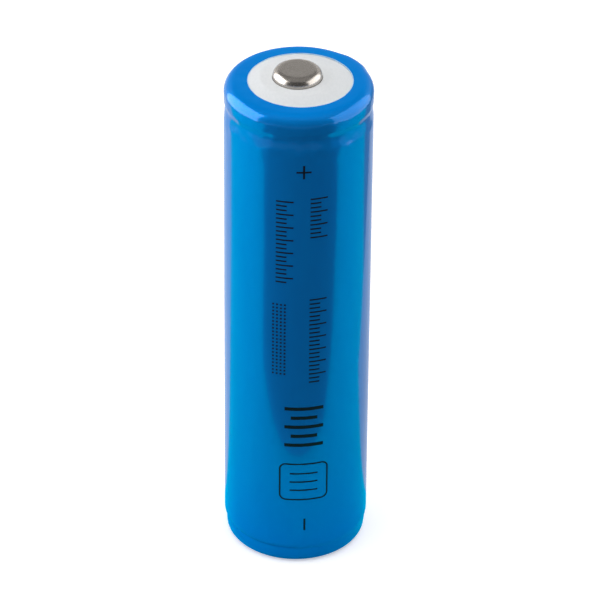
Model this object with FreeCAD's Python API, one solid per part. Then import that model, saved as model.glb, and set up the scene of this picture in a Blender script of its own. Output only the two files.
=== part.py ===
import FreeCAD, Part
import math
import os

from FreeCAD import Vector

# Protected cylindrical lithium-ion cell: a wound cell in a crimped steel can, a welded-on positive button,
# a round protection board under the can, and one heat-shrunk sleeve over all of it.
# Millimetres. Z runs up the cell's axis, from the negative contact (z = 0) to the positive button.
# A closed outline lists points (r, z, fillet radius), with a fillet of 0 where it is left out.

# ---- driving dimensions ----
FIT = 0.02                    # gap left between pieces that touch
SLEEVE_R = 9.25               # outside of the shrunk sleeve
SLEEVE_T = 0.10
SLEEVE_TOP_Z = 67.30          # upper face of the sleeve's top lip
TOP_LIP_R = 6.48              # edge of the sleeve's top opening
BASE_LIP_R = 6.60             # edge of the sleeve's bottom opening
CAN_R = 9.13
CAN_T = 0.25
CAN_BASE_Z = 2.10             # underside of the can
CAN_HEIGHT = 64.75
CELL_HEIGHT = 65.05           # can's underside to the flat of the positive cap
STRIP_T = 0.10
STRIP_WIDTH = 3.0
STRIP_ANGLE = 38.0            # side of the cell that the positive strip runs down, degrees from +X
WASHER_T = 0.30
BUTTON_T = 0.22
BUTTON_R = 3.07               # outside of the button's wall
BUTTON_RISE = 1.15            # button's flat above the washer
BOARD_R = 8.45
BOARD_T = 0.60
BOARD_BASE_Z = 0.35

# ---- heights worked out from the stack ----
CAN_RIM_Z = CAN_BASE_Z + CAN_HEIGHT
CAN_FLOOR_Z = CAN_BASE_Z + CAN_T
CAP_TOP_Z = CAN_BASE_Z + CELL_HEIGHT
STRIP_TOP_Z = CAP_TOP_Z + STRIP_T
FLANGE_TOP_Z = STRIP_TOP_Z + BUTTON_T
WASHER_INNER_Z = FLANGE_TOP_Z + FIT
WASHER_RIM_Z = CAN_RIM_Z + FIT
BUTTON_TOP_Z = WASHER_INNER_Z + WASHER_T + BUTTON_RISE
BOARD_TOP_Z = BOARD_BASE_Z + BOARD_T
BEAD_Z = CAN_RIM_Z - 3.10     # middle of the groove rolled into the can
BEAD_ROOT_R = CAN_R - 1.38
BEAD_HALF = 0.55
BEAD_LIP = 0.72               # radius where the can's side turns into the bead
CRIMP_R = CAN_R - 0.08        # can above the bead
HEADER_R = 8.22               # cap, thermistor ring and vent disc
ROLL_INNER_R = 2.22
ROLL_PITCH = 0.356
ROLL_TURNS = 17.5
AXIS = Vector(0, 0, 1)
ORIGIN = Vector(0, 0, 0)


# ---- drawing helpers ----
def point(r, z):
    return Vector(r, 0, z)


def unit(a, b):
    """Direction from outline point a to b, as (dr, dz)."""
    dr, dz = b[0] - a[0], b[1] - a[1]
    length = math.hypot(dr, dz)
    return dr / length, dz / length


def shifted(path, t):
    """The path moved t to its left, with its fillets kept concentric."""
    moved = []
    last = len(path) - 1
    for i, p in enumerate(path):
        d_in = unit(path[max(i - 1, 0)], path[max(i, 1)])
        d_out = unit(path[min(i, last - 1)], path[min(i + 1, last)])
        n_in, n_out = (-d_in[1], d_in[0]), (-d_out[1], d_out[0])
        k = t / (1 + n_in[0] * n_out[0] + n_in[1] * n_out[1])
        turn = d_in[0] * d_out[1] - d_in[1] * d_out[0]
        radius = p[2] if len(p) > 2 else 0
        if radius:
            radius = max(0, radius - math.copysign(1, turn) * t)
        moved.append((p[0] + k * (n_in[0] + n_out[0]), p[1] + k * (n_in[1] + n_out[1]), radius))
    return moved


def edges(path, closed=False):
    """Straight edges along the path, joined by tangent arcs where a point has a fillet."""
    made = []
    count = len(path)
    ends = []
    for i, p in enumerate(path):
        radius = p[2] if len(p) > 2 else 0
        if not radius or (not closed and i in (0, count - 1)):
            ends.append((point(p[0], p[1]), None, point(p[0], p[1])))
            continue
        d_in = unit(path[i - 1], p)
        d_out = unit(p, path[(i + 1) % count])
        half = math.acos(max(-1, min(1, d_in[0] * d_out[0] + d_in[1] * d_out[1]))) / 2
        back = radius * math.tan(half)
        a = (p[0] - back * d_in[0], p[1] - back * d_in[1])
        b = (p[0] + back * d_out[0], p[1] + back * d_out[1])
        inward = (d_out[0] - d_in[0], d_out[1] - d_in[1])
        size = math.hypot(*inward)
        reach = radius / math.cos(half) - radius
        mid = (p[0] + reach * inward[0] / size, p[1] + reach * inward[1] / size)
        ends.append((point(*a), point(*mid), point(*b)))
    for i in range(count if closed else count - 1):
        a, b = ends[i][2], ends[(i + 1) % count][0]
        if a.distanceToPoint(b) > 1e-6:
            made.append(Part.LineSegment(a, b).toShape())
        nxt = ends[(i + 1) % count]
        if nxt[1] is not None:
            made.append(Part.Arc(nxt[0], nxt[1], nxt[2]).toShape())
    return made


def section(outline):
    """Flat face inside a closed outline."""
    return Part.Face(Part.Wire(edges(outline, closed=True)))


def sheet_section(path, t):
    """Section of sheet material t thick that lies left of the path, or right of it if t is negative."""
    return section([*path, *reversed(shifted(path, t))])


def turned(face, angle=360.0, start=0.0):
    solid = face.revolve(ORIGIN, AXIS, angle)
    if solid.Volume < 0:
        solid.reverse()
    solid.rotate(ORIGIN, AXIS, start)
    return solid


def disc(r, z, height, x=0.0, y=0.0):
    return Part.makeCylinder(r, height, Vector(x, y, z))


def ring(outer, inner, z, height):
    return disc(outer, z, height).cut(disc(inner, z - 1, height + 2))


def block(u0, u1, v0, v1, z0, z1):
    return Part.makeBox(u1 - u0, v1 - v0, z1 - z0, Vector(u0, v0, z0))


def on_strip_side(shape):
    """Turns a shape drawn along +X to the side that the positive strip runs down."""
    shape.rotate(ORIGIN, AXIS, STRIP_ANGLE)
    return shape


def around(radius, count, start=0.0):
    """Points evenly spaced on a circle, as (x, y)."""
    angles = [math.radians(start + 360.0 * k / count) for k in range(count)]
    return [(radius * math.cos(a), radius * math.sin(a)) for a in angles]


def save(name, *solids):
    shape = solids[0] if len(solids) == 1 else Part.makeCompound(list(solids))
    for s in shape.Solids:
        if not s.isValid() or s.Volume <= 0:
            raise ValueError(name + " has a bad solid")
    shape.exportStep("parts/" + name + ".step")
    print(f"{name:24s} {len(shape.Solids):3d} solids {shape.Volume:10.3f} mm3")


# ---- outlines of the outer layers ----
SLEEVE_PATH = [               # sleeve's outer face, from its bottom lip up to its top lip
    (BASE_LIP_R, 0.02),
    (8.96, 0.02, 1.0),
    (8.96, 1.80, 0.4),
    (8.80, 2.26, 0.18),
    (SLEEVE_R, 2.64, 1.0),
    (SLEEVE_R, BEAD_Z - 1.03, 0.6),
    (SLEEVE_R - 0.32, BEAD_Z - 0.40, 0.6),
    (SLEEVE_R - 0.32, BEAD_Z + 0.50, 0.6),
    (SLEEVE_R, BEAD_Z + 1.30, 0.6),
    (SLEEVE_R, SLEEVE_TOP_Z, 1.43),
    (TOP_LIP_R, SLEEVE_TOP_Z),
]
STRIP_PATH = [                # positive strip's outer face, from the cap's middle down to the board
    (0, STRIP_TOP_Z),
    (5.3, STRIP_TOP_Z, 0.5),
    (6.4, CAN_RIM_Z + 0.19, 0.5),
    (CAN_R + 0.18, CAN_RIM_Z + 0.19, 1.05),
    (CAN_R + 0.18, 2.76, 1.3),
    (8.70, 2.15, 0.3),
    (8.70, BOARD_TOP_Z + FIT, 0.15),
    (7.1, BOARD_TOP_Z + FIT),
]
TAPE_PATH = [                 # outer face of the tape between the strip and the can
    (7.0, CAN_RIM_Z + 0.07),
    (CAN_R + 0.06, CAN_RIM_Z + 0.07, 0.92),
    (CAN_R + 0.06, 3.25),
]
RIDGE_HALF_ANGLE = 13.8       # half the angle over which the sleeve stands out over the strip and its tape


def filled(path):
    """Solid of everything between a path and the axis."""
    return turned(section([*path, (0, path[-1][1]), (0, path[0][1])]))


def sector(path, half_angle):
    """The part of filled(path) that faces the strip's side."""
    face = section([*path, (0, path[-1][1]), (0, path[0][1])])
    return turned(face, 2 * half_angle, STRIP_ANGLE - half_angle)


def outer_sleeve():
    inner_half_angle = RIDGE_HALF_ANGLE - math.degrees(SLEEVE_T / SLEEVE_R)
    outside = filled(SLEEVE_PATH).fuse(sector(shifted(STRIP_PATH, FIT + SLEEVE_T), RIDGE_HALF_ANGLE))
    inside = filled(shifted(SLEEVE_PATH, SLEEVE_T)).fuse(sector(shifted(STRIP_PATH, FIT), inner_half_angle))
    openings = disc(BASE_LIP_R, -1, 2).fuse(disc(TOP_LIP_R, SLEEVE_TOP_Z - 1, 3))
    shell = outside.cut(inside).cut(openings)
    save("outer_sleeve", shell.removeSplitter().Solids[0])


# ---- positive end, outside the can ----
def positive_button():
    inner_z = BUTTON_TOP_Z - BUTTON_T
    inner_r = BUTTON_R - BUTTON_T
    path = [(0, inner_z), (inner_r, inner_z, 0.74), (inner_r, STRIP_TOP_Z, 0.3), (4.4, STRIP_TOP_Z)]
    save("positive_button", turned(sheet_section(path, BUTTON_T)))


def positive_strip():
    half = STRIP_WIDTH / 2
    wrap = turned(sheet_section(STRIP_PATH, -STRIP_T)).common(block(-1.8, 10, -half, half, 0, 70))
    save("positive_strip", on_strip_side(wrap.Solids[0]))


def strip_tape():
    wrap = turned(sheet_section(TAPE_PATH, -0.05)).common(block(0, 10, -2.0, 2.0, 0, 70))
    save("strip_tape", on_strip_side(wrap.Solids[0]))


def top_insulating_washer():
    path = [
        (BUTTON_R + 0.05, WASHER_INNER_Z),
        (4.6, WASHER_INNER_Z, 1.2),
        (6.5, WASHER_RIM_Z, 1.5),
        (7.92, WASHER_RIM_Z),
    ]
    washer = turned(sheet_section(path, WASHER_T))
    over_strip = filled(shifted(STRIP_PATH, FIT)).common(block(3, 9, -1.52, 1.52, 60, 70))
    over_tape = filled(shifted(TAPE_PATH, FIT)).common(block(6.6, 9, -2.05, 2.05, 60, 70))
    save("top_insulating_washer", washer.cut(on_strip_side(over_strip.fuse(over_tape))).Solids[0])


# ---- the can and its header ----
def steel_can():
    path = [
        (0, CAN_BASE_Z),
        (CAN_R, CAN_BASE_Z, 1.2),
        (CAN_R, BEAD_Z - BEAD_HALF, BEAD_LIP),
        (BEAD_ROOT_R, BEAD_Z - BEAD_HALF, BEAD_HALF),
        (BEAD_ROOT_R, BEAD_Z + BEAD_HALF, BEAD_HALF),
        (CRIMP_R, BEAD_Z + BEAD_HALF, BEAD_LIP),
        (CRIMP_R, CAN_RIM_Z, 0.85),
        (7.35, CAN_RIM_Z),
    ]
    save("steel_can", turned(sheet_section(path, CAN_T)))


GASKET_T = 0.48
GASKET_BASE_Z = BEAD_Z + BEAD_HALF + CAN_T + FIT


def crimp_gasket():
    r = CRIMP_R - CAN_T - FIT
    z = CAN_RIM_Z - CAN_T - FIT
    path = [(7.5, GASKET_BASE_Z), (r, GASKET_BASE_Z, 0.5), (r, z, 0.6), (7.45, z)]
    save("crimp_gasket", turned(sheet_section(path, GASKET_T)))


VENT_T = 0.30
VENT_Z = GASKET_BASE_Z + GASKET_T + 0.01
THERMISTOR_Z = VENT_Z + VENT_T
CAP_T = 0.40
CAP_BRIM_Z = CAN_RIM_Z - CAN_T - FIT - GASKET_T - CAP_T - 0.01
THERMISTOR_T = CAP_BRIM_Z - THERMISTOR_Z
WELD_PLATE_TOP_Z = VENT_Z - 0.66
WELD_PLATE_T = 0.50


def positive_cap():
    under = CAP_TOP_Z - CAP_T
    path = [(0, under), (4.7, under, 0.35), (5.5, CAP_BRIM_Z, 0.35), (HEADER_R, CAP_BRIM_Z)]
    cap = turned(sheet_section(path, CAP_T))
    hole_z = (under + CAP_BRIM_Z) / 2 + 0.15
    for x, y in around(1.0, 4, 45):
        cap = cap.cut(Part.makeCylinder(0.42, 4, Vector(3.5 * x, 3.5 * y, hole_z), Vector(x, y, 0)))
    save("positive_cap", cap)


def thermistor_ring():
    save("thermistor_ring", ring(HEADER_R, 5.6, THERMISTOR_Z + 0.005, THERMISTOR_T - 0.01))


def vent_disc():
    dish_z = WELD_PLATE_TOP_Z + 0.08
    path = [(0, dish_z), (1.4, dish_z, 0.5), (5.1, VENT_Z, 0.8), (HEADER_R, VENT_Z)]
    nipple = disc(0.7, WELD_PLATE_TOP_Z, 0.2)
    score_r = 3.4
    score_z = dish_z + VENT_T + (VENT_Z - dish_z) * (score_r - 1.4) / (5.1 - 1.4)
    score = Part.makeTorus(score_r, 0.1, Vector(0, 0, score_z + 0.02))
    disc_body = turned(sheet_section(path, VENT_T)).fuse(nipple).cut(score)
    save("vent_disc", disc_body.removeSplitter().Solids[0])


def vent_gasket():
    top, ledge, foot = VENT_Z - 0.01, WELD_PLATE_TOP_Z + FIT, WELD_PLATE_TOP_Z - WELD_PLATE_T
    outline = [(5.9, ledge), (6.95, ledge), (6.95, foot), (7.28, foot), (7.28, top, 0.1), (5.9, top)]
    save("vent_gasket", turned(section(outline)))


def vent_weld_plate():
    base = WELD_PLATE_TOP_Z - WELD_PLATE_T
    plate = disc(6.93, base, WELD_PLATE_T).cut(disc(1.5, base - 1, 1.3))
    for x, y in around(4.3, 6):
        plate = plate.cut(disc(0.65, base - 1, 3, x, y))
    save("vent_weld_plate", plate)


# ---- the roll ----
def spiral_edges(radius, turns):
    """Half circles about two centres a quarter pitch off the axis, each pair a pitch further out."""
    step = ROLL_PITCH / 2
    made = []
    for k in range(int(round(2 * turns))):
        side = 1 if k % 2 == 0 else -1
        centre = -side * step / 2
        r = radius + k * step + step / 2
        a, b = centre + side * r, centre - side * r
        made.append(Part.Arc(Vector(a, 0, 0), Vector(centre, side * r, 0), Vector(b, 0, 0)).toShape())
    return made


def wound(name, radius, t, z0, z1, turns=ROLL_TURNS):
    """Ribbon t thick and as tall as z0 to z1, wound from the given radius."""
    inner, outer = spiral_edges(radius, turns), spiral_edges(radius + t, turns)
    start = Part.LineSegment(inner[0].Vertexes[0].Point, outer[0].Vertexes[0].Point).toShape()
    end = Part.LineSegment(inner[-1].Vertexes[-1].Point, outer[-1].Vertexes[-1].Point).toShape()
    face = Part.Face(Part.Wire(Part.__sortEdges__([start, *inner, end, *outer])))
    ribbon = face.extrude(Vector(0, 0, z1 - z0))
    ribbon.translate(Vector(0, 0, z0))
    save(name, ribbon)


SEPARATOR_T, CATHODE_T, ANODE_T, LAYER_GAP = 0.022, 0.145, 0.135, 0.008
ROLL_BASE_Z = CAN_FLOOR_Z + 0.50
ROLL_TOP_Z = BEAD_Z - 1.85


def jelly_roll():
    """Cathode, separator, anode, separator, from the inside out. The anode is the outermost layer."""
    r = ROLL_INNER_R
    wound("cathode_foil", r, CATHODE_T, ROLL_BASE_Z + 1.0, ROLL_TOP_Z - 1.0)
    r += CATHODE_T + LAYER_GAP
    wound("inner_separator", r, SEPARATOR_T, ROLL_BASE_Z, ROLL_TOP_Z)
    r += SEPARATOR_T + LAYER_GAP
    wound("anode_foil", r, ANODE_T, ROLL_BASE_Z + 0.5, ROLL_TOP_Z - 0.5)
    r += ANODE_T + LAYER_GAP
    wound("outer_separator", r, SEPARATOR_T, ROLL_BASE_Z, ROLL_TOP_Z, ROLL_TURNS - 1)


def roll_tape():
    t, r = 0.04, CAN_R - CAN_T - 0.02
    face = Part.Face(Part.Wire(edges([(r - t, 14), (r, 14), (r, 52), (r - t, 52)], closed=True)))
    save("roll_tape", turned(face, 330, -165))


def centre_pin():
    pin = ring(1.38, 1.18, ROLL_BASE_Z + 0.4, ROLL_TOP_Z - ROLL_BASE_Z - 0.6)
    save("centre_pin", pin.cut(block(-2, 0, -0.15, 0.15, 0, 70)).Solids[0])


def positive_tab():
    t, half = 0.10, 1.4
    weld_z = WELD_PLATE_TOP_Z - WELD_PLATE_T - FIT
    fold_z = weld_z - 0.95
    path = [
        (1.66, ROLL_BASE_Z + 3),
        (1.66, fold_z, 0.2),
        (5.8, fold_z, 0.4),
        (5.8, weld_z - t, 0.35),
        (-1.2, weld_z - t),
    ]
    tab = sheet_section(path, -t).extrude(Vector(0, 2 * half, 0))
    tab.translate(Vector(0, -half, 0))
    tab.rotate(ORIGIN, AXIS, 90)
    save("positive_tab", tab)


def upper_insulator():
    plate = ring(CAN_R - CAN_T - 0.06, 2.6, ROLL_TOP_Z + 0.12, 0.25)
    for x, y in around(5.6, 4):
        plate = plate.cut(disc(1.1, 50, 20, x, y))
    save("upper_insulator", plate)


NEGATIVE_TAB_SIDE = 200.0


def negative_tab():
    t, half = 0.10, 1.9
    side, floor = 8.58, CAN_FLOOR_Z + FIT
    path = [(0, floor), (side, floor, 0.98), (side, ROLL_TOP_Z - 8)]
    strip = turned(sheet_section(path, t)).common(block(-1.8, 10, -half, half, 0, 70)).Solids[0]
    strip.rotate(ORIGIN, AXIS, NEGATIVE_TAB_SIDE)
    save("negative_tab", strip)


def lower_insulator():
    save("lower_insulator", ring(7.8, 1.6, CAN_FLOOR_Z + 0.16, 0.2))


# ---- the protection board, under the can ----
def can_base_insulator():
    paper = disc(7.9, CAN_BASE_Z - FIT - 0.12, 0.12)
    window = on_strip_side(block(-3.1, 2.7, -1.75, 1.75, 0, 3))
    save("can_base_insulator", paper.cut(window))


def negative_strip():
    t, top = 0.10, CAN_BASE_Z - FIT
    run, land = top - 0.15, BOARD_TOP_Z + FIT
    path = [(-2.4, top), (2.5, top, 0.12), (2.9, run, 0.12), (6.8, run, 0.4), (6.8, land, 0.4), (4.7, land)]
    strip = sheet_section(path, -t).extrude(Vector(0, 3.0, 0))
    strip.translate(Vector(0, -1.5, 0))
    strip.rotate(ORIGIN, AXIS, STRIP_ANGLE + 180)
    save("negative_strip", strip)


def protection_board():
    save("protection_board", disc(BOARD_R, BOARD_BASE_Z, BOARD_T))


def board_pads():
    """Plated copper on the board's upper face, one pad under each strip."""
    t = FIT
    near = block(6.6, 8.2, -1.3, 1.3, BOARD_TOP_Z, BOARD_TOP_Z + t)
    far = block(-6.9, -4.4, -1.7, 1.7, BOARD_TOP_Z, BOARD_TOP_Z + t)
    save("board_pads", on_strip_side(near), on_strip_side(far))


def board_spacer():
    base = BOARD_TOP_Z + FIT
    height = CAN_BASE_Z - 0.12 - FIT - base - 0.01
    spacer = ring(8.80, 8.05, base, height)
    gap = on_strip_side(block(5, 10, -1.7, 1.7, 0, 3))
    save("board_spacer", spacer.cut(gap).Solids[0])


def chip(u, v, length, width, height):
    base = BOARD_TOP_Z + FIT
    body = block(u - length / 2, u + length / 2, v - width / 2, v + width / 2, base, base + height)
    return on_strip_side(body)


def leads(u, v, count, pitch, reach, inner, width, across_u):
    """Two rows of gull-wing leads, drawn as a foot and a riser, either side of a chip body."""
    base = BOARD_TOP_Z + FIT
    made = []
    for side in (-1, 1):
        for k in range(count):
            along = (k - (count - 1) / 2) * pitch
            foot = sorted((side * (inner + 0.25), side * reach))
            riser = sorted((side * inner, side * (inner + 0.35)))
            spans = [(foot, base, base + 0.12), (riser, base + 0.12, base + 0.42)]
            lead = None
            for (lo, hi), z0, z1 in spans:
                w0, w1 = along - width / 2, along + width / 2
                bar = block(u + lo, u + hi, v + w0, v + w1, z0, z1) if across_u else block(
                    u + w0, u + w1, v + lo, v + hi, z0, z1
                )
                lead = bar if lead is None else lead.fuse(bar)
            made.append(on_strip_side(lead.removeSplitter().Solids[0]))
    return made


def board_parts():
    save("switch_chip", chip(0, 0, 3.0, 4.4, 0.72))
    save("switch_chip_leads", *leads(0, 0, 4, 0.65, 3.2, 2.2, 0.25, across_u=False))
    save("guard_chip", chip(4.2, 0, 1.6, 2.9, 0.72))
    save("guard_chip_leads", *leads(4.2, 0, 3, 0.95, 1.4, 0.8, 0.35, across_u=True))
    save("chip_resistors", *[chip(u, v, 1.6, 0.8, 0.45) for u, v in ((3.8, 4.4), (3.8, -4.4), (0.4, 5.6))])
    save("chip_capacitors", *[chip(u, v, 0.8, 1.6, 0.6) for u, v in ((-3.1, 4.0), (-3.1, -4.0))])


def solder_joints():
    """A low solder mound on the end of each strip."""
    top = BOARD_TOP_Z + FIT + STRIP_T
    made = [Part.makeCone(0.8, 0.35, 0.22, Vector(u, 0, top)) for u in (7.65, -5.35)]
    save("solder_joints", *[on_strip_side(s) for s in made])


def negative_contact():
    path = [(0, 0), (6.05, 0, 0.15), (6.30, 0.14, 0.15), (7.6, 0.14)]
    save("negative_contact", turned(sheet_section(path, 0.19)))


def main():
    os.makedirs("parts", exist_ok=True)
    for build in (
        outer_sleeve, positive_button, positive_strip, strip_tape, top_insulating_washer,
        steel_can, crimp_gasket, positive_cap, thermistor_ring, vent_disc, vent_gasket, vent_weld_plate,
        jelly_roll, roll_tape, centre_pin, positive_tab, upper_insulator, negative_tab, lower_insulator,
        can_base_insulator, negative_strip, protection_board, board_pads, board_spacer, board_parts,
        solder_joints, negative_contact,
    ):
        build()
    print(f"overall length {BUTTON_TOP_Z:.2f} mm, sleeve diameter {2 * SLEEVE_R:.2f} mm")


main()
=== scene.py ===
# %% [markdown]
# # A button-top battery cell
#
# The cell is a wound roll in a steel can, with a metal button at one end, a flat contact at the
# other and a thin blue sleeve shrunk over everything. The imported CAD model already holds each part
# at its real size. This notebook gives every part its finish. It makes three pieces again with
# finer meshes: the sleeve, because real film sags into grooves and tents over a strip, and the
# button and washer, because their curves fill the best-lit part of the view.

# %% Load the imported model
import math

import bpy
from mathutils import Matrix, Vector, noise


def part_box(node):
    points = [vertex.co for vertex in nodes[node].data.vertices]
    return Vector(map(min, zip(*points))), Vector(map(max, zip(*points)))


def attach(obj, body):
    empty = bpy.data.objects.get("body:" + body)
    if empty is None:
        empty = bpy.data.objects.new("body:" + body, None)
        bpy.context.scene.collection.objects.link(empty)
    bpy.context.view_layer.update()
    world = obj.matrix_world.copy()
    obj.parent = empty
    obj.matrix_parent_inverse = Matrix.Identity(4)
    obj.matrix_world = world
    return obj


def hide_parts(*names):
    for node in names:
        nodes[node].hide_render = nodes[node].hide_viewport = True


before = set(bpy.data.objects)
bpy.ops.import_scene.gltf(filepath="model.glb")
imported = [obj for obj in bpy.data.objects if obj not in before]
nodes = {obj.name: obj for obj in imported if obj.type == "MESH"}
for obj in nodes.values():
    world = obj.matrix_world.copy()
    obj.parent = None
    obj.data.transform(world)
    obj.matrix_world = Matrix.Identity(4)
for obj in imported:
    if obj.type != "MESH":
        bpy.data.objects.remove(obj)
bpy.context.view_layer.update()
MM = 0.001

# %% [markdown]
# ## Sizes
#
# The main radii and heights come from the boxes of the CAD nodes, so the pieces made here follow
# the model if it changes. The sleeve's radius is half its width along X, where nothing stands out
# from it. Working in millimetres keeps the numbers readable, and one factor, `MM`, turns them into
# Blender's metres at the end.

# %% Sizes from the model
sleeve_low, sleeve_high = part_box("outer_sleeve")
_, can_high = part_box("steel_can")
washer_low, washer_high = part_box("top_insulating_washer")
button_low, button_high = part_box("positive_button")
SLEEVE_R = sleeve_high.x / MM
SLEEVE_TOP = sleeve_high.z / MM
SLEEVE_FOOT = sleeve_low.z / MM
SHOULDER = round(SLEEVE_TOP - 1.5, 2)   # height where the barrel turns into the top lip
GROOVE = can_high.z / MM - 3.10         # middle of the groove rolled into the can
FILM = 0.10                             # thickness of the shrunk film
STRIP_SIDE = math.radians(38)           # side that the strip runs down, from +X towards +Y
print(f"sleeve radius {SLEEVE_R:.2f}, top at {SLEEVE_TOP:.2f}, rolled groove at {GROOVE:.2f} (mm)")

# %% [markdown]
# ## Camera
#
# A long lens from a little over half a metre, looking down at 34 degrees, keeps the sides of the
# cell almost parallel and shows the button, the washer and the whole barrel at once. The camera is
# turned about its own axis by half a degree, because a cell stood by hand in front of a lens is
# never exactly upright in the frame.

# %% Camera
ELEVATION = math.radians(33.81)
DISTANCE = 0.52707          # from the middle of the cell, in metres
ROLL = math.radians(0.52)
AIM_UP = 1.064 * MM         # how far the view's centre lies above and to the right of the middle
AIM_RIGHT = 0.363 * MM
middle = Vector((0, 0, 33.65 * MM))
back = Vector((0, -math.cos(ELEVATION), math.sin(ELEVATION)))
camera_up = Vector((0, math.sin(ELEVATION), math.cos(ELEVATION)))

camera = bpy.data.objects.new("camera", bpy.data.cameras.new("camera"))
bpy.context.scene.collection.objects.link(camera)
bpy.context.scene.camera = camera
camera.data.lens = 249.0
camera.data.clip_start = 0.01
camera.data.clip_end = 20
camera.location = middle + back * DISTANCE
aim = middle + camera_up * AIM_UP + Vector((AIM_RIGHT, 0, 0))
camera.rotation_euler = (aim - camera.location).to_track_quat("-Z", "Y").to_euler()
camera.rotation_euler.rotate_axis("Z", ROLL)
print(f"lens {camera.data.lens} mm at {DISTANCE} m")

# %% [markdown]
# ## Table and cards
#
# A round, glossy thing is drawn by what it reflects. Each side of the barrel mirrors one side of
# the table, so the film shows a pale band where the table is bright and a deep band where it is
# dark. In a studio that deep band comes from a black card lying in front of the object, and the
# card here does the same. Two white cards behind draw the pale edges, and two grey ones, in front
# and on the right, tone down the rest of the table. All are seen by reflections only, so that they
# stay out of the picture.

# %% Material helpers
def new_material(name):
    """A material with an empty node tree, its tree and its output node."""
    material = bpy.data.materials.new(name)
    material.use_nodes = True
    tree = material.node_tree
    tree.nodes.clear()
    return material, tree, tree.nodes.new("ShaderNodeOutputMaterial")


def linear(red, green, blue):
    """A colour given as 0 to 255 on a screen, as the linear values that shaders use."""
    values = []
    for level in (red, green, blue):
        share = level / 255
        values.append(((share + 0.055) / 1.055) ** 2.4 if level > 10 else share / 12.92)
    return [*values, 1.0]


# %% Table
TABLE_HALF = 4.0    # half the table's width, in metres
FILM_LIGHT_REACH = 0.2    # how far from the cell its reflections of the table carry painted blue light off the film, in metres


def build_table():
    """A white table. Reflections and bounced light each get their own, dimmer look of it."""
    mesh = bpy.data.meshes.new("floor")
    sides = [(-1, -1), (1, -1), (1, 1), (-1, 1)]
    mesh.from_pydata([(x * TABLE_HALF, y * TABLE_HALF, 0) for x, y in sides], [], [(0, 1, 2, 3)])
    floor = bpy.data.objects.new("floor", mesh)
    bpy.context.scene.collection.objects.link(floor)
    material, tree, output = new_material("white table")
    rays = tree.nodes.new("ShaderNodeLightPath")
    facing = tree.nodes.new("ShaderNodeNewGeometry")

    def paint(colour, glow):
        shader = tree.nodes.new("ShaderNodeBsdfPrincipled")
        shader.inputs["Base Color"].default_value = (*colour, 1)
        shader.inputs["Roughness"].default_value = 0.9
        shader.inputs["Specular IOR Level"].default_value = 0.0
        shader.inputs["Emission Color"].default_value = (*colour, 1)
        shader.inputs["Emission Strength"].default_value = glow
        return shader.outputs["BSDF"]

    def painted_film_light():
        """How reflections see the table: painted blue near the cell, standing in for light off the
        film, then grey.
        """
        place = tree.nodes.new("ShaderNodeTexCoord")
        reach = tree.nodes.new("ShaderNodeVectorMath")
        reach.operation = "LENGTH"
        share = tree.nodes.new("ShaderNodeMath")
        share.operation = "MULTIPLY"
        share.inputs[1].default_value = 1 / FILM_LIGHT_REACH
        # Painted light: near the cell the table glows blue in reflections, for the light that the film
        # throws on it.
        bands = tree.nodes.new("ShaderNodeValToRGB")
        near, far = bands.color_ramp.elements
        near.position = 0.065
        near.color = (0.0, 0.95, 1.15, 1)
        far.position = 1.0
        far.color = (0.5, 0.5, 0.5, 1)
        bands.color_ramp.elements.new(0.085).color = (0.0, 1.05, 1.12, 1)
        for at in (0.15, 0.65):
            bands.color_ramp.elements.new(at).color = (0.0, 1.2, 1.02, 1)
        tree.links.new(place.outputs["Object"], reach.inputs[0])
        tree.links.new(reach.outputs["Value"], share.inputs[0])
        tree.links.new(share.outputs["Value"], bands.inputs["Fac"])
        shader = paint((1, 1, 1), 0.45)
        tree.links.new(bands.outputs["Color"], shader.node.inputs["Base Color"])
        tree.links.new(bands.outputs["Color"], shader.node.inputs["Emission Color"])
        return shader

    def choose(test, no, yes):
        mix = tree.nodes.new("ShaderNodeMixShader")
        tree.links.new(test, mix.inputs["Fac"])
        tree.links.new(no, mix.inputs[1])
        tree.links.new(yes, mix.inputs[2])
        return mix.outputs["Shader"]

    seen = paint((0.86, 0.86, 0.86), 0.55)
    bounced = choose(rays.outputs["Is Diffuse Ray"], seen, paint((0.3, 0.3, 0.3), 0.0))
    mirrored = choose(rays.outputs["Is Glossy Ray"], bounced, painted_film_light())
    hidden = tree.nodes.new("ShaderNodeBsdfTransparent").outputs["BSDF"]
    tree.links.new(choose(facing.outputs["Backfacing"], mirrored, hidden), output.inputs["Surface"])
    mesh.materials.append(material)


build_table()


# %% Cards
CARD_Z = 0.3    # height of the cards over the table


def build_card(name, corners, grey):
    """A card just above the table that only reflections see. Corners are in millimetres."""
    mesh = bpy.data.meshes.new(name)
    verts = [(x * MM, y * MM, CARD_Z * MM) for x, y in corners]
    mesh.from_pydata(verts, [], [tuple(range(len(corners)))])
    card = bpy.data.objects.new(name, mesh)
    bpy.context.scene.collection.objects.link(card)
    material, tree, output = new_material(name)
    glow = tree.nodes.new("ShaderNodeEmission")
    glow.inputs["Color"].default_value = (grey, grey, grey, 1)
    tree.links.new(glow.outputs["Emission"], output.inputs["Surface"])
    mesh.materials.append(material)
    card.visible_camera = False
    card.visible_diffuse = False
    card.visible_shadow = False
    card.visible_transmission = False


dark_left = [(-41, -35), (-110, -85), (-133, -170)]
dark_right = [(184, -170), (150, -75), (52, -37), (26, -31)]
build_card("dark card", dark_left + dark_right, 0.1)
build_card("front grey card", [(-133, -170), (-900, -3000), (1200, -3000), (184, -170)], 0.3)
side_edge = [(100, 52), (1500, 800), (1500, 1900)]
build_card("side grey card", [(58, 34), *side_edge, (600, 1900), (66, 62)], 0.35)
build_card("left white card", [(0, 6), (0, 1900), (-3000, 1900), (-11, 6)], 1.3)
white_edge = [(11, 6), (44, 14), (58, 34), (66, 62), (600, 1900)]
build_card("right white card", [(0, 6), *white_edge, (0, 1900)], 1.1)
print("table and 5 cards")

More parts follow.
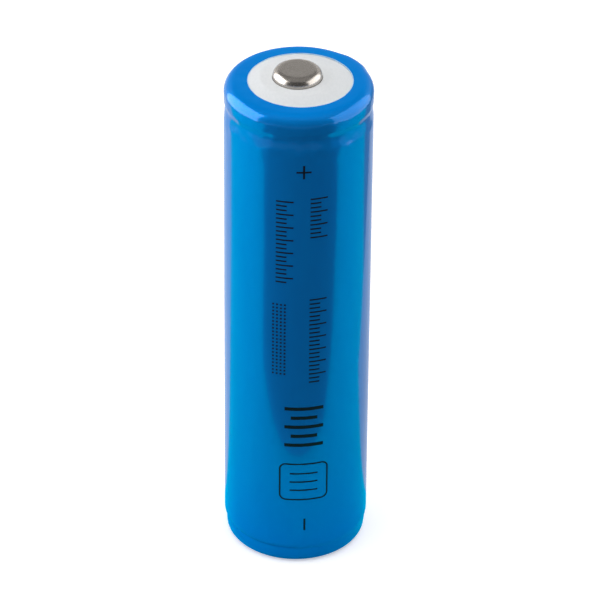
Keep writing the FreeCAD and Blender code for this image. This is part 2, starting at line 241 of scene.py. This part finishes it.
# %% [markdown]
# ## Lights and room
#
# One light can't do two jobs here. To draw a crisp pale patch on the shoulder it has to be bright,
# and then it burns out the white washer. So each side has a soft box that only reflections see and
# a weaker fill that only lights surfaces, and a large top light does most of the lighting. The room
# around them is a smooth grey, a little brighter behind, which gives the button its grey flat and
# its dark lower edge.

# %% Lights
def soft_box(name, place, faces, width, height, radiance, lights):
    """A rectangular light for "reflections" or "surfaces". Its power follows from radiance and area."""
    data = bpy.data.lights.new(name, "AREA")
    data.shape = "RECTANGLE"
    data.size = width
    data.size_y = height
    data.energy = radiance * math.pi * width * height
    light = bpy.data.objects.new(name, data)
    light.location = place
    light.rotation_euler = Vector(faces).to_track_quat("-Z", "Y").to_euler()
    light.visible_camera = False
    light.visible_glossy = lights == "reflections"
    light.visible_diffuse = lights == "surfaces"
    bpy.context.scene.collection.objects.link(light)


soft_box("left soft box", (-0.12, 0.01, 0.115), (1, 0, 0), 0.17, 0.18, 5.0, "reflections")
soft_box("right soft box", (0.12, 0.0, 0.11), (-1, 0, 0), 0.19, 0.18, 2.1, "reflections")
soft_box("left fill", (-0.16, -0.02, 0.105), (1, 0.1, 0), 0.2, 0.21, 1.6, "surfaces")
soft_box("right fill", (0.16, -0.02, 0.105), (-1, 0.1, 0), 0.2, 0.21, 0.8, "surfaces")
soft_box("top light", (0, 0, 0.9), (0, 0, -1), 0.9, 0.9, 2.45, "surfaces")
print("2 soft boxes, 2 fills and a top light")


# %% Room
def build_room():
    """White for the camera, and for reflections a grey room with a pale backdrop and a dark front."""
    world = bpy.data.worlds.new("studio")
    bpy.context.scene.world = world
    world.use_nodes = True
    tree = world.node_tree
    tree.nodes.clear()

    def ramp(value, low, high, to_low, to_high):
        node = tree.nodes.new("ShaderNodeMapRange")
        node.interpolation_type = "SMOOTHSTEP"
        node.inputs["From Min"].default_value = low
        node.inputs["From Max"].default_value = high
        node.inputs["To Min"].default_value = to_low
        node.inputs["To Max"].default_value = to_high
        tree.links.new(value, node.inputs["Value"])
        return node.outputs["Result"]

    def combine(operation, a, b):
        node = tree.nodes.new("ShaderNodeMath")
        node.operation = operation
        tree.links.new(a, node.inputs[0])
        tree.links.new(b, node.inputs[1])
        return node.outputs["Value"]

    way = tree.nodes.new("ShaderNodeTexCoord")
    split = tree.nodes.new("ShaderNodeSeparateXYZ")
    tree.links.new(way.outputs["Generated"], split.inputs["Vector"])
    up, north = split.outputs["Z"], split.outputs["Y"]
    low_down = ramp(up, 0.48, 0.53, 0.6, 0.0)
    backdrop = combine("MULTIPLY", low_down, ramp(north, -0.1, 0.3, 0.0, 1.0))
    ceiling = ramp(up, 0.72, 0.96, 0.0, 0.1)
    front = ramp(north, -0.75, -0.25, 0.12, 0.36)
    ray = tree.nodes.new("ShaderNodeLightPath")
    dimmed = ramp(ray.outputs["Is Diffuse Ray"], 0.0, 1.0, 1.0, 0.35)
    room = tree.nodes.new("ShaderNodeBackground")
    mirrored = combine("ADD", combine("ADD", backdrop, ceiling), front)
    tree.links.new(combine("MULTIPLY", mirrored, dimmed), room.inputs["Strength"])
    seen = tree.nodes.new("ShaderNodeBackground")
    mix = tree.nodes.new("ShaderNodeMixShader")
    output = tree.nodes.new("ShaderNodeOutputWorld")
    tree.links.new(ray.outputs["Is Camera Ray"], mix.inputs["Fac"])
    tree.links.new(room.outputs["Background"], mix.inputs[1])
    tree.links.new(seen.outputs["Background"], mix.inputs[2])
    tree.links.new(mix.outputs["Shader"], output.inputs["Surface"])


build_room()
bpy.context.scene.view_settings.view_transform = "Standard"
print("room: white behind, grey around")

# %% [markdown]
# ## Shared surface effects
#
# No real surface is one flat value. Two node groups cover most of a cell: a soft mottle, for
# anything moulded, rolled or coated, and fine lines, for metal that was drawn or turned. Each is
# built once and placed in every material with its own numbers. They give out a value from 0 to 1
# that drives colour, roughness and a bump.

# %% Node groups
def new_group(name, inputs):
    """A shader node group with float or vector inputs and one output, Value."""
    group = bpy.data.node_groups.new(name, "ShaderNodeTree")
    for label, kind, default in inputs:
        socket = group.interface.new_socket(label, in_out="INPUT", socket_type=kind)
        socket.default_value = default
    group.interface.new_socket("Value", in_out="OUTPUT", socket_type="NodeSocketFloat")
    return group, group.nodes.new("NodeGroupInput"), group.nodes.new("NodeGroupOutput")


def build_mottle():
    """Cloudy variation. Spots Per Mm sets how fine it is, Stretch how each axis is drawn out."""
    group, given, result = new_group("mottle", [
        ("Spots Per Mm", "NodeSocketFloat", 1.0),
        ("Stretch", "NodeSocketVector", (1.0, 1.0, 1.0)),
        ("Detail", "NodeSocketFloat", 3.0),
    ])
    place = group.nodes.new("ShaderNodeTexCoord")
    drawn = group.nodes.new("ShaderNodeVectorMath")
    drawn.operation = "MULTIPLY"
    metres = group.nodes.new("ShaderNodeMath")
    metres.operation = "MULTIPLY"
    metres.inputs[1].default_value = 1 / MM
    cloud = group.nodes.new("ShaderNodeTexNoise")
    cloud.inputs["Roughness"].default_value = 0.6
    spread = group.nodes.new("ShaderNodeMapRange")
    spread.inputs["From Min"].default_value = 0.25
    spread.inputs["From Max"].default_value = 0.75
    group.links.new(place.outputs["Object"], drawn.inputs[0])
    group.links.new(given.outputs["Stretch"], drawn.inputs[1])
    group.links.new(given.outputs["Spots Per Mm"], metres.inputs[0])
    group.links.new(drawn.outputs["Vector"], cloud.inputs["Vector"])
    group.links.new(metres.outputs["Value"], cloud.inputs["Scale"])
    group.links.new(given.outputs["Detail"], cloud.inputs["Detail"])
    group.links.new(cloud.outputs["Fac"], spread.inputs["Value"])
    group.links.new(spread.outputs["Result"], result.inputs["Value"])
    return group


def build_turned_lines():
    """Fine rings round Z, as a lathe or a press tool leaves them, broken up along their length."""
    group, given, result = new_group("turned lines", [
        ("Lines Per Mm", "NodeSocketFloat", 6.0),
        ("Wander", "NodeSocketFloat", 0.3),
    ])
    place = group.nodes.new("ShaderNodeTexCoord")
    split = group.nodes.new("ShaderNodeSeparateXYZ")
    flat = group.nodes.new("ShaderNodeCombineXYZ")
    radius = group.nodes.new("ShaderNodeVectorMath")
    radius.operation = "LENGTH"
    out = group.nodes.new("ShaderNodeCombineXYZ")
    metres = group.nodes.new("ShaderNodeMath")
    metres.operation = "MULTIPLY"
    metres.inputs[1].default_value = 1 / MM
    wander = group.nodes.new("ShaderNodeVectorMath")
    wander.operation = "SCALE"
    added = group.nodes.new("ShaderNodeVectorMath")
    added.operation = "ADD"
    lines = group.nodes.new("ShaderNodeTexNoise")
    lines.inputs["Detail"].default_value = 2.0
    spread = group.nodes.new("ShaderNodeMapRange")
    spread.inputs["From Min"].default_value = 0.3
    spread.inputs["From Max"].default_value = 0.7
    group.links.new(place.outputs["Object"], split.inputs["Vector"])
    group.links.new(split.outputs["X"], flat.inputs["X"])
    group.links.new(split.outputs["Y"], flat.inputs["Y"])
    group.links.new(flat.outputs["Vector"], radius.inputs[0])
    group.links.new(radius.outputs["Value"], out.inputs["X"])
    group.links.new(split.outputs["Z"], out.inputs["Z"])
    group.links.new(place.outputs["Object"], wander.inputs[0])
    group.links.new(given.outputs["Wander"], wander.inputs["Scale"])
    group.links.new(out.outputs["Vector"], added.inputs[0])
    group.links.new(wander.outputs["Vector"], added.inputs[1])
    group.links.new(given.outputs["Lines Per Mm"], metres.inputs[0])
    group.links.new(added.outputs["Vector"], lines.inputs["Vector"])
    group.links.new(metres.outputs["Value"], lines.inputs["Scale"])
    group.links.new(lines.outputs["Fac"], spread.inputs["Value"])
    group.links.new(spread.outputs["Result"], result.inputs["Value"])
    return group


MOTTLE = build_mottle()
TURNED_LINES = build_turned_lines()
print("node groups: mottle, turned lines")

# %% [markdown]
# ## One recipe for the plain finishes
#
# Most parts need the same few links: an effect mixes two close shades, moves the roughness a little
# and raises a very small bump. One function builds that, and each finish is then a line of numbers,
# which makes them easy to compare. Metals get turned lines, and everything moulded, coated or woven
# gets mottle.

# %% Finish recipe
def finish(name, dark, light, rough, metallic=0.0, effect=MOTTLE, settings=None, bump=0.004):
    """A material whose colour runs between two shades and whose roughness runs between two values."""
    material, tree, output = new_material(name)
    shader = tree.nodes.new("ShaderNodeBsdfPrincipled")
    shader.inputs["Metallic"].default_value = metallic
    variation = tree.nodes.new("ShaderNodeGroup")
    variation.node_tree = effect
    for label, value in (settings or {}).items():
        variation.inputs[label].default_value = value
    shades = tree.nodes.new("ShaderNodeMix")
    shades.data_type = "RGBA"
    shades.inputs["A"].default_value = linear(*dark)
    shades.inputs["B"].default_value = linear(*light)
    gloss = tree.nodes.new("ShaderNodeMapRange")
    gloss.inputs["To Min"].default_value = rough[0]
    gloss.inputs["To Max"].default_value = rough[1]
    relief = tree.nodes.new("ShaderNodeBump")
    relief.inputs["Strength"].default_value = 0.5
    relief.inputs["Distance"].default_value = bump * MM
    tree.links.new(variation.outputs["Value"], shades.inputs["Factor"])
    tree.links.new(shades.outputs["Result"], shader.inputs["Base Color"])
    tree.links.new(variation.outputs["Value"], gloss.inputs["Value"])
    tree.links.new(gloss.outputs["Result"], shader.inputs["Roughness"])
    tree.links.new(variation.outputs["Value"], relief.inputs["Height"])
    tree.links.new(relief.outputs["Normal"], shader.inputs["Normal"])
    tree.links.new(shader.outputs["BSDF"], output.inputs["Surface"])
    return material, shader


# %% [markdown]
# ## Film
#
# The sleeve is clear blue film pulled tight over bright steel. Light passes the film, is coloured,
# bounces off the steel and comes out again, while a second, uncoloured reflection comes from the
# film's own skin. Rendering two layers a tenth of a millimetre apart would be slow and noisy. A
# blue, slightly metallic base under a clear coat gives the same two reflections: the base for the
# steel seen through the film, and the coat for the skin. Over the top lip the film has shrunk the
# most and its skin is duller, so the coat fades where the surface turns upwards.

# %% Film finish
def film_finish():
    """The blue film over steel, with a skin that fades where the surface faces up."""
    material, shader = finish("blue film", (0, 129, 219), (0, 135, 223), rough=(0.19, 0.23),
                              metallic=0.18, bump=0.002,
                              settings={"Spots Per Mm": 0.25, "Stretch": (1.0, 1.0, 0.25)})
    shader.inputs["Specular IOR Level"].default_value = 0.0
    shader.inputs["Coat Roughness"].default_value = 0.03
    shader.inputs["Coat IOR"].default_value = 1.4
    tree = material.node_tree
    way = tree.nodes.new("ShaderNodeNewGeometry")
    split = tree.nodes.new("ShaderNodeSeparateXYZ")
    skin = tree.nodes.new("ShaderNodeMapRange")
    skin.inputs["From Min"].default_value = 0.75
    skin.inputs["From Max"].default_value = 0.97
    skin.inputs["To Min"].default_value = 0.5
    skin.inputs["To Max"].default_value = 0.08
    tree.links.new(way.outputs["Normal"], split.inputs["Vector"])
    tree.links.new(split.outputs["Z"], skin.inputs["Value"])
    tree.links.new(skin.outputs["Result"], shader.inputs["Coat Weight"])
    return material


FILM_BLUE = film_finish()
# The cut edge is paler film, and its colour also holds a painted highlight along the mouth.
FILM_EDGE_HIGHLIGHT, _ = finish("cut film edge and painted highlight", (150, 196, 228), (205, 228, 244), rough=(0.3, 0.45),
                      settings={"Spots Per Mm": 2.0})
INK, ink_shader = finish("ink", (6, 14, 24), (12, 22, 34), rough=(0.5, 0.6), bump=0.001,
                         settings={"Spots Per Mm": 3.0})
ink_shader.inputs["Specular IOR Level"].default_value = 0.15
print("film, cut edge and ink")

# %% [markdown]
# ## Sleeve
#
# A shrunk sleeve is a tube that has settled on what is inside it. Its outline is drawn once as a
# few corners with fillets, and then each turn of the lathe moves the points a little: it dips less
# into the foot groove on the right, tents over the strip on the far side, and its mouth is slightly
# off centre. A function gives the radius at any angle and height, so the ink can follow the same
# surface.

# %% Outlines
def rounded(corners, step):
    """Points along an outline, at most a step apart. A corner is (r, z, radius of its fillet)."""
    drawn = [Vector(corners[0][:2])]
    for before, corner, after in zip(corners, corners[1:], corners[2:]):
        p = Vector(corner[:2])
        to_before = (Vector(before[:2]) - p).normalized()
        to_after = (Vector(after[:2]) - p).normalized()
        half = to_before.angle(to_after) / 2
        run = corner[2] / math.tan(half)
        centre = p + (to_before + to_after).normalized() * (corner[2] / math.sin(half))
        first = p + to_before * run - centre
        last = p + to_after * run - centre
        count = max(2, math.ceil(corner[2] * (math.pi - 2 * half) / (step * 0.4)))
        drawn.extend(centre + first.slerp(last, k / count) * corner[2] for k in range(count + 1))
    drawn.append(Vector(corners[-1][:2]))
    points = [drawn[0]]
    for p in drawn[1:]:
        here = points[-1]
        runs = max(1, math.ceil((p - here).length / step))
        points.extend(here.lerp(p, k / runs) for k in range(1, runs + 1))
    return points


def smooth(value, low, high):
    """0 below low, 1 above high, with an easy slope between. It runs backwards if high is below low."""
    t = min(1.0, max(0.0, (value - low) / (high - low)))
    return t * t * (3 - 2 * t)


# %% How the film settles
RIDGE = 0.18                         # how far the strip lifts the film
RIDGE_FOOT = (2.6, 3.8)              # the ridge grows out of the barrel between these heights
RIDGE_LIP = (7.6, 8.5)               # and sinks into the lip between these radii
STRIP_EDGE = math.radians(9.3)       # half the angle that the strip itself covers
STRIP_TENT = math.radians(20.5)      # half the angle until the film lies on the can again
STEP_TOP = 2.95                      # height where the film leaves the barrel for the foot
STEP_HEIGHT = 1.95                   # it reaches the foot's own wall this far below
STEP_DROP = 0.29                     # how much smaller the foot's radius is than the barrel's
BARREL = (8.0, 9.0)                  # waves grow between these radii, from the lips to the barrel
WALL_WAVE = 0.012                    # height of the film's waves on the barrel
NECK_WAVE = 0.05                     # height of the gathers round the neck
MOUTH = (7.9, 6.5)                   # the top lip moves with its mouth between these radii
MOUTH_SHIFT = Vector((0.17, 0.05))   # how far the mouth is off centre, along X and Y
LIP_WAVE = 0.02                      # height of the top lip's waves


def strip_share(angle):
    """1 over the strip, falling to 0 where the tented film touches the can again."""
    off = abs((angle - STRIP_SIDE + math.pi) % (2 * math.pi) - math.pi)
    if off >= STRIP_TENT:
        return 0.0
    line = SLEEVE_R / math.cos(STRIP_TENT - max(off, STRIP_EDGE)) - SLEEVE_R
    return min(1.0, line / RIDGE)


def settled(angle, r, z):
    """Where a point (r, z) of the outline lies at one angle round the cell, as (x, y, z) in mm."""
    left = 0.5 - 0.5 * math.cos(angle)
    if STEP_TOP - STEP_HEIGHT < z < STEP_TOP:
        straight = SLEEVE_R - STEP_DROP * (STEP_TOP - z) / STEP_HEIGHT
        r = straight + (r - straight) * (0.1 + 0.9 * smooth(left, 0.1, 0.8))
    lift = strip_share(angle) * smooth(z, *RIDGE_FOOT) * smooth(r, *RIDGE_LIP)
    r += lift * (RIDGE + (SLEEVE_R - r if z < SHOULDER else 0))
    spot = Vector((math.cos(angle), math.sin(angle), 0)) * r
    wall = smooth(r, *BARREL)
    r += WALL_WAVE * wall * noise.noise(Vector((spot.x * 0.35, spot.y * 0.35, z * 0.07)))
    neck = wall * smooth(z, GROOVE - 4.5, GROOVE - 1.0)
    gathered = neck * smooth(z, SHOULDER + 1.0, GROOVE + 1.5)
    r += NECK_WAVE * gathered * noise.noise(Vector((spot.x * 0.8, spot.y * 0.8, z * 0.9)))
    x, y = r * math.cos(angle), r * math.sin(angle)
    if z > GROOVE:
        share = smooth(r, *MOUTH)
        x += MOUTH_SHIFT.x * share
        y += MOUTH_SHIFT.y * share
        z += LIP_WAVE * share * noise.noise(Vector((x * 0.9, y * 0.9, 7.0)))
    return Vector((x, y, z))


print(f"film lifted by {RIDGE * strip_share(STRIP_SIDE):.2f} mm over the strip")


# %% Lathe
def lathe(name, outline, count, place, materials, material_of=None):
    """Turns a closed outline about Z. place() gives a vertex, and material_of() a band's material."""
    rows = len(outline)
    verts = []
    for j in range(count):
        angle = 2 * math.pi * j / count
        verts.extend(place(angle, p.x, p.y) * MM for p in outline)
    faces = []
    bands = []
    for j in range(count):
        here, there = j * rows, (j + 1) % count * rows
        for k in range(rows):
            after = (k + 1) % rows
            faces.append((here + k, there + k, there + after, here + after))
            bands.append(material_of(k) if material_of else 0)
    mesh = bpy.data.meshes.new(name)
    mesh.from_pydata(verts, [], faces)
    for material in materials:
        mesh.materials.append(material)
    mesh.polygons.foreach_set("material_index", bands)
    mesh.shade_smooth()
    mesh.set_sharp_from_angle(angle=math.radians(50))
    piece = bpy.data.objects.new(name, mesh)
    bpy.context.scene.collection.objects.link(piece)
    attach(piece, "root")
    return piece


def inside_of(outline, thickness):
    """The inner face of a sheet whose outer face is this outline, in the opposite direction."""
    moved = []
    last = len(outline) - 1
    for k, p in enumerate(outline):
        along = (outline[min(k + 1, last)] - outline[max(k - 1, 0)]).normalized()
        moved.append(p + Vector((-along.y, along.x)) * thickness)
    return moved[::-1]


# %% Sleeve
# Each corner is (radius, height, fillet), from the mouth at the foot up to the mouth at the top.
SLEEVE_CORNERS = [
    (6.60, SLEEVE_FOOT, 0),
    (8.96, SLEEVE_FOOT, 1.0),
    (8.96, 1.80, 0.4),
    (8.80, 2.26, 0.18),
    (SLEEVE_R, 2.64, 1.0),
    (SLEEVE_R, GROOVE - 1.45, 8.0),
    (SLEEVE_R - 0.19, GROOVE + 0.35, 0.9),
    (SLEEVE_R, GROOVE + 1.05, 0.7),
    (SLEEVE_R, SLEEVE_TOP, 1.43),
    (6.44, SLEEVE_TOP, 0),
]
PALE_EDGE_AND_HIGHLIGHT = 0.09    # width of the stretched, paler film round the mouth, which also carries a painted highlight


def build_sleeve():
    """The film as one closed skin, with its pale edge at the mouth, partly a painted highlight."""
    outer = rounded(SLEEVE_CORNERS, 0.6)
    outer.insert(-1, outer[-1] + Vector((PALE_EDGE_AND_HIGHLIGHT, 0)))
    inner = inside_of(outer, FILM)
    rim = {len(outer) - 2, len(outer) - 1, len(outer) + len(inner) - 1}
    materials = [FILM_BLUE, FILM_EDGE_HIGHLIGHT]
    sleeve = lathe("sleeve", outer + inner, 240, settled, materials, lambda k: int(k in rim))
    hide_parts("outer_sleeve")
    return sleeve


sleeve = build_sleeve()
print(f"sleeve: {len(sleeve.data.polygons)} faces")

# %% [markdown]
# ## Button and washer
#
# The button is pressed from nickel-plated strip: a flat top, a rounded shoulder, a short wall and a
# flange that the washer hides. Its shoulder mirrors the whole studio in less than a millimetre, so
# a fine lathe with true normals is worth having in place of the coarser CAD mesh. The washer is cut
# from white fibre sheet and drops gently from its hole to its rim. A button welded by machine is
# still a little off centre, and the washer's hole goes with it.

# %% Button and washer
NICKEL, _ = finish("nickel plate", (168, 162, 155), (186, 180, 173), rough=(0.22, 0.29), metallic=1.0,
                   effect=TURNED_LINES, settings={"Lines Per Mm": 9.0, "Wander": 0.35}, bump=0.0012)
FIBRE, _ = finish("white fibre", (221, 224, 226), (229, 231, 233), rough=(0.6, 0.8), bump=0.006,
                  settings={"Spots Per Mm": 3.0, "Stretch": (1.0, 0.6, 1.0)})
BUTTON_WALL = 3.07    # outside radius of the button's wall
BUTTON_SHIFT = -0.2   # how far along X the button was welded off centre
PLATE = 0.22          # thickness of the pressed strip
WASHER_RIM = 0.30     # height of the washer's upper face over its lowest edge, at its rim
FIBRE_SHEET = 0.13    # thickness of the fibre sheet


def off_centre(angle, r, z):
    """A turned point, moved with the button, and less and less so towards the washer's outer edge."""
    share = smooth(r, 7.0, 4.6)
    return Vector((r * math.cos(angle) + BUTTON_SHIFT * share, r * math.sin(angle), z))


def build_button():
    """The pressed button, from its flange up and over to the middle of its flat."""
    top = button_high.z / MM
    seat = button_low.z / MM + PLATE
    flange = button_high.x / MM
    wall = [(BUTTON_WALL, seat, 0.08), (BUTTON_WALL, top, 0.96)]
    corners = [(flange, seat, 0), *wall, (0.002, top, 0)]
    outer = rounded(corners, 0.25)
    button = lathe("button", outer + inside_of(outer, PLATE), 180, off_centre, [NICKEL])
    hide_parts("positive_button")
    return button


def build_washer():
    """The fibre washer, from its rim in and up to its hole."""
    rim = washer_low.z / MM + WASHER_RIM
    top = washer_high.z / MM
    slope = [(6.5, rim, 1.5), (4.6, top, 1.2)]
    corners = [(washer_high.x / MM, rim, 0), *slope, (BUTTON_WALL + 0.05, top, 0)]
    outer = rounded(corners, 0.3)
    washer = lathe("washer", outer + inside_of(outer, FIBRE_SHEET), 180, off_centre, [FIBRE])
    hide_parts("top_insulating_washer")
    return washer


button = build_button()
washer = build_washer()
print(f"button: {len(button.data.polygons)} faces, washer: {len(washer.data.polygons)} faces")

# %% [markdown]
# ## Print
#
# The marks are printed on the film with a dark ink. They are thin pieces that follow the film, a
# hundredth of a millimetre thick, so they keep sharp edges close up and move with the surface. Only
# the plus and minus marks mean anything. The rest are plain rows of ticks, dots and outlines that
# hold the places of a maker's printing.

# %% Ink shapes
QUAD_WIDTH = 0.3            # quads are no wider or taller than this, so that they follow the film
QUAD_HEIGHT = 1.5
INK_LIFT = (0.004, 0.014)   # how far over the film the ink's two faces lie


def bar(u, v, width, height):
    """A rectangle on the unrolled film, in short quads. u runs round the cell and v up it, in mm."""
    runs = max(1, math.ceil(width / QUAD_WIDTH))
    rises = max(1, math.ceil(height / QUAD_HEIGHT))
    quads = []
    for i in range(runs):
        for j in range(rises):
            u0, u1 = u - width / 2 + width * i / runs, u - width / 2 + width * (i + 1) / runs
            v0, v1 = v - height / 2 + height * j / rises, v - height / 2 + height * (j + 1) / rises
            quads.append([(u0, v0), (u1, v0), (u1, v1), (u0, v1)])
    return quads


def loop(u, v, width, height, stroke, corner):
    """The outline of a rounded rectangle, drawn with one stroke."""
    paths = []
    for inset in (0, stroke):
        r = max(corner - inset, 0.02)
        path = []
        for quarter, (sx, sy) in enumerate([(1, 1), (-1, 1), (-1, -1), (1, -1)]):
            cx, cy = u + sx * (width / 2 - inset - r), v + sy * (height / 2 - inset - r)
            for k in range(9):
                a = math.pi / 2 * (quarter + k / 8)
                path.append(Vector((cx + r * math.cos(a), cy + r * math.sin(a))))
        paths.append(path)
    outer, inner = paths
    quads = []
    for k in range(len(outer)):
        after = (k + 1) % len(outer)
        steps = max(1, math.ceil((outer[after] - outer[k]).length / QUAD_WIDTH))
        for i in range(steps):
            a, b = i / steps, (i + 1) / steps
            quads.append([
                outer[k].lerp(outer[after], a),
                outer[k].lerp(outer[after], b),
                inner[k].lerp(inner[after], b),
                inner[k].lerp(inner[after], a),
            ])
    return quads


def ticks(u, width, top, bottom, pitch, stroke):
    """A row of ticks up the cell, as on a ruler: one long and then two shorter."""
    quads = []
    count = int((top - bottom) / pitch)
    for k in range(count + 1):
        reach = width if k % 3 == 0 else width * 0.62
        quads += bar(u - width / 2 + reach / 2, top - k * pitch, reach, stroke)
    return quads


def dots(u, width, top, bottom, rows, pitch, size):
    """Rows of small square dots, as a date printer leaves."""
    quads = []
    for k in range(int((top - bottom) / pitch) + 1):
        for row in range(rows):
            quads += bar(u - width / 2 + width * row / (rows - 1), top - k * pitch, size, size)
    return quads


def stamp(name, quads):
    """Lays flat quads on the film, with the thickness of ink."""
    verts = []
    faces = []
    for lift in INK_LIFT:
        for quad in quads:
            for u, v in quad:
                angle = u / SLEEVE_R - math.pi / 2
                spot = settled(angle, SLEEVE_R, v)
                out = Vector((math.cos(angle), math.sin(angle), 0))
                verts.append((spot + out * lift) * MM)
    half = len(verts) // 2
    for k in range(len(quads)):
        a = 4 * k
        faces.append((half + a, half + a + 1, half + a + 2, half + a + 3))
        faces.append((a + 3, a + 2, a + 1, a))
        faces.extend((a + i, a + (i + 1) % 4, half + a + (i + 1) % 4, half + a + i) for i in range(4))
    mesh = bpy.data.meshes.new(name)
    mesh.from_pydata(verts, [], faces)
    mesh.materials.append(INK)
    piece = bpy.data.objects.new(name, mesh)
    bpy.context.scene.collection.objects.link(piece)
    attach(piece, "root")


# %% Marks on the sleeve
stamp("plus_mark", bar(0.71, 59.7, 1.85, 0.24) + bar(0.71, 59.7, 0.24, 1.9))
stamp("minus_mark", bar(1.18, 6.32, 0.26, 1.83))
stamp("rating_ticks", ticks(2.66, 2.2, 55.8, 50.0, 0.62, 0.2) + ticks(2.66, 2.2, 41.0, 28.5, 0.62, 0.2))
stamp("type_ticks", ticks(-1.63, 2.2, 55.4, 43.4, 0.62, 0.2))
stamp("date_dots", dots(-2.28, 1.5, 40.2, 29.8, 4, 0.52, 0.24))
stack = [bar(1.02, 24.5 - 1.4 * k, 5.0 - 1.6 * (k % 2), 0.5) for k in range(5)]
stamp("mark_bars", [quad for quads in stack for quad in quads])
panel_lines = [quad for v in (14.4, 13.1, 11.8) for quad in bar(1.04, v, 3.6, 0.22)]
stamp("care_panel", loop(1.04, 13.1, 6.4, 5.8, 0.22, 0.9) + panel_lines)
print("7 printed pieces")

# %% [markdown]
# ## Finishes of the CAD parts
#
# The other parts keep their CAD meshes, and most are hidden inside, but each gets the finish of the
# real thing for when the cell is opened up. A short table says what each is made of: bright nickel
# for strips, dull oxide and graphite for the wound foils, clear-to-milky plastic for the
# separators, green lacquer for the board.

# %% Finishes
METAL = {"metallic": 1.0, "effect": TURNED_LINES}
FINE = {"settings": {"Spots Per Mm": 4.0}}
STEEL, _ = finish("drawn steel", (150, 151, 153), (176, 177, 179), rough=(0.22, 0.34), **METAL)
STRIP, _ = finish("nickel strip", (176, 172, 164), (193, 189, 181), rough=(0.2, 0.3), metallic=1.0,
                  settings={"Spots Per Mm": 2.0, "Stretch": (6.0, 6.0, 0.3)}, bump=0.002)
ALUMINIUM, _ = finish("rolled aluminium", (196, 198, 201), (214, 216, 219), rough=(0.3, 0.42), **METAL)
AMBER, _ = finish("amber tape", (186, 112, 28), (206, 134, 44), rough=(0.25, 0.35), **FINE)
NYLON, _ = finish("milky nylon", (214, 214, 206), (228, 228, 221), rough=(0.4, 0.5), **FINE)
BLACK_RUBBER, _ = finish("black moulding", (24, 24, 25), (38, 38, 40), rough=(0.5, 0.65), **FINE)
CONDUCTIVE, _ = finish("filled polymer", (44, 44, 47), (66, 66, 69), rough=(0.45, 0.6), **FINE)
SEPARATOR, _ = finish("separator film", (232, 234, 236), (244, 245, 246), rough=(0.35, 0.45),
                      settings={"Spots Per Mm": 1.5, "Stretch": (1.0, 1.0, 4.0)})
OXIDE, _ = finish("oxide coating", (34, 34, 38), (50, 50, 55), rough=(0.7, 0.85),
                  settings={"Spots Per Mm": 6.0})
GRAPHITE, _ = finish("graphite coating", (46, 45, 44), (68, 66, 64), rough=(0.6, 0.75),
                     settings={"Spots Per Mm": 8.0})
ROLL_TAPE, _ = finish("green polymer tape", (60, 142, 96), (78, 160, 112), rough=(0.3, 0.4), **FINE)
PAPER, _ = finish("insulating paper", (196, 206, 186), (216, 224, 206), rough=(0.7, 0.85), bump=0.008,
                  settings={"Spots Per Mm": 5.0, "Stretch": (1.0, 0.5, 1.0)})
BOARD, _ = finish("board lacquer", (14, 74, 44), (22, 92, 56), rough=(0.25, 0.35),
                  settings={"Spots Per Mm": 1.2})
GOLD, _ = finish("gilded pads", (212, 172, 92), (228, 190, 112), rough=(0.22, 0.32),
                 metallic=1.0, **FINE)
EPOXY, _ = finish("chip epoxy", (26, 27, 29), (40, 41, 44), rough=(0.5, 0.6),
                  settings={"Spots Per Mm": 10.0})
CERAMIC, _ = finish("pale ceramic", (206, 204, 198), (222, 220, 214), rough=(0.45, 0.55), **FINE)
TAN_CERAMIC, _ = finish("tan ceramic", (170, 138, 98), (186, 154, 114), rough=(0.45, 0.55), **FINE)
SOLDER, _ = finish("solder", (186, 188, 192), (208, 210, 213), rough=(0.2, 0.32), metallic=1.0, **FINE)

FINISH_OF = {
    "top_insulating_washer": FIBRE,
    "positive_strip": STRIP,
    "strip_tape": AMBER,
    "steel_can": STEEL,
    "crimp_gasket": NYLON,
    "positive_cap": NICKEL,
    "thermistor_ring": CONDUCTIVE,
    "vent_disc": ALUMINIUM,
    "vent_gasket": BLACK_RUBBER,
    "vent_weld_plate": ALUMINIUM,
    "inner_separator": SEPARATOR,
    "outer_separator": SEPARATOR,
    "cathode_foil": OXIDE,
    "anode_foil": GRAPHITE,
    "roll_tape": ROLL_TAPE,
    "centre_pin": STEEL,
    "positive_tab": ALUMINIUM,
    "upper_insulator": NYLON,
    "negative_tab": STRIP,
    "lower_insulator": NYLON,
    "can_base_insulator": PAPER,
    "negative_strip": STRIP,
    "protection_board": BOARD,
    "board_pads": GOLD,
    "board_spacer": BLACK_RUBBER,
    "switch_chip": EPOXY,
    "switch_chip_leads": SOLDER,
    "guard_chip": EPOXY,
    "guard_chip_leads": SOLDER,
    "chip_resistors": CERAMIC,
    "chip_capacitors": TAN_CERAMIC,
    "solder_joints": SOLDER,
    "negative_contact": NICKEL,
    "positive_button": NICKEL,
    "outer_sleeve": FILM_BLUE,
}

for name, node in nodes.items():
    for k in range(len(node.material_slots)):
        node.data.materials[k] = FINISH_OF[name]
print(f"{len(FINISH_OF)} CAD nodes finished")
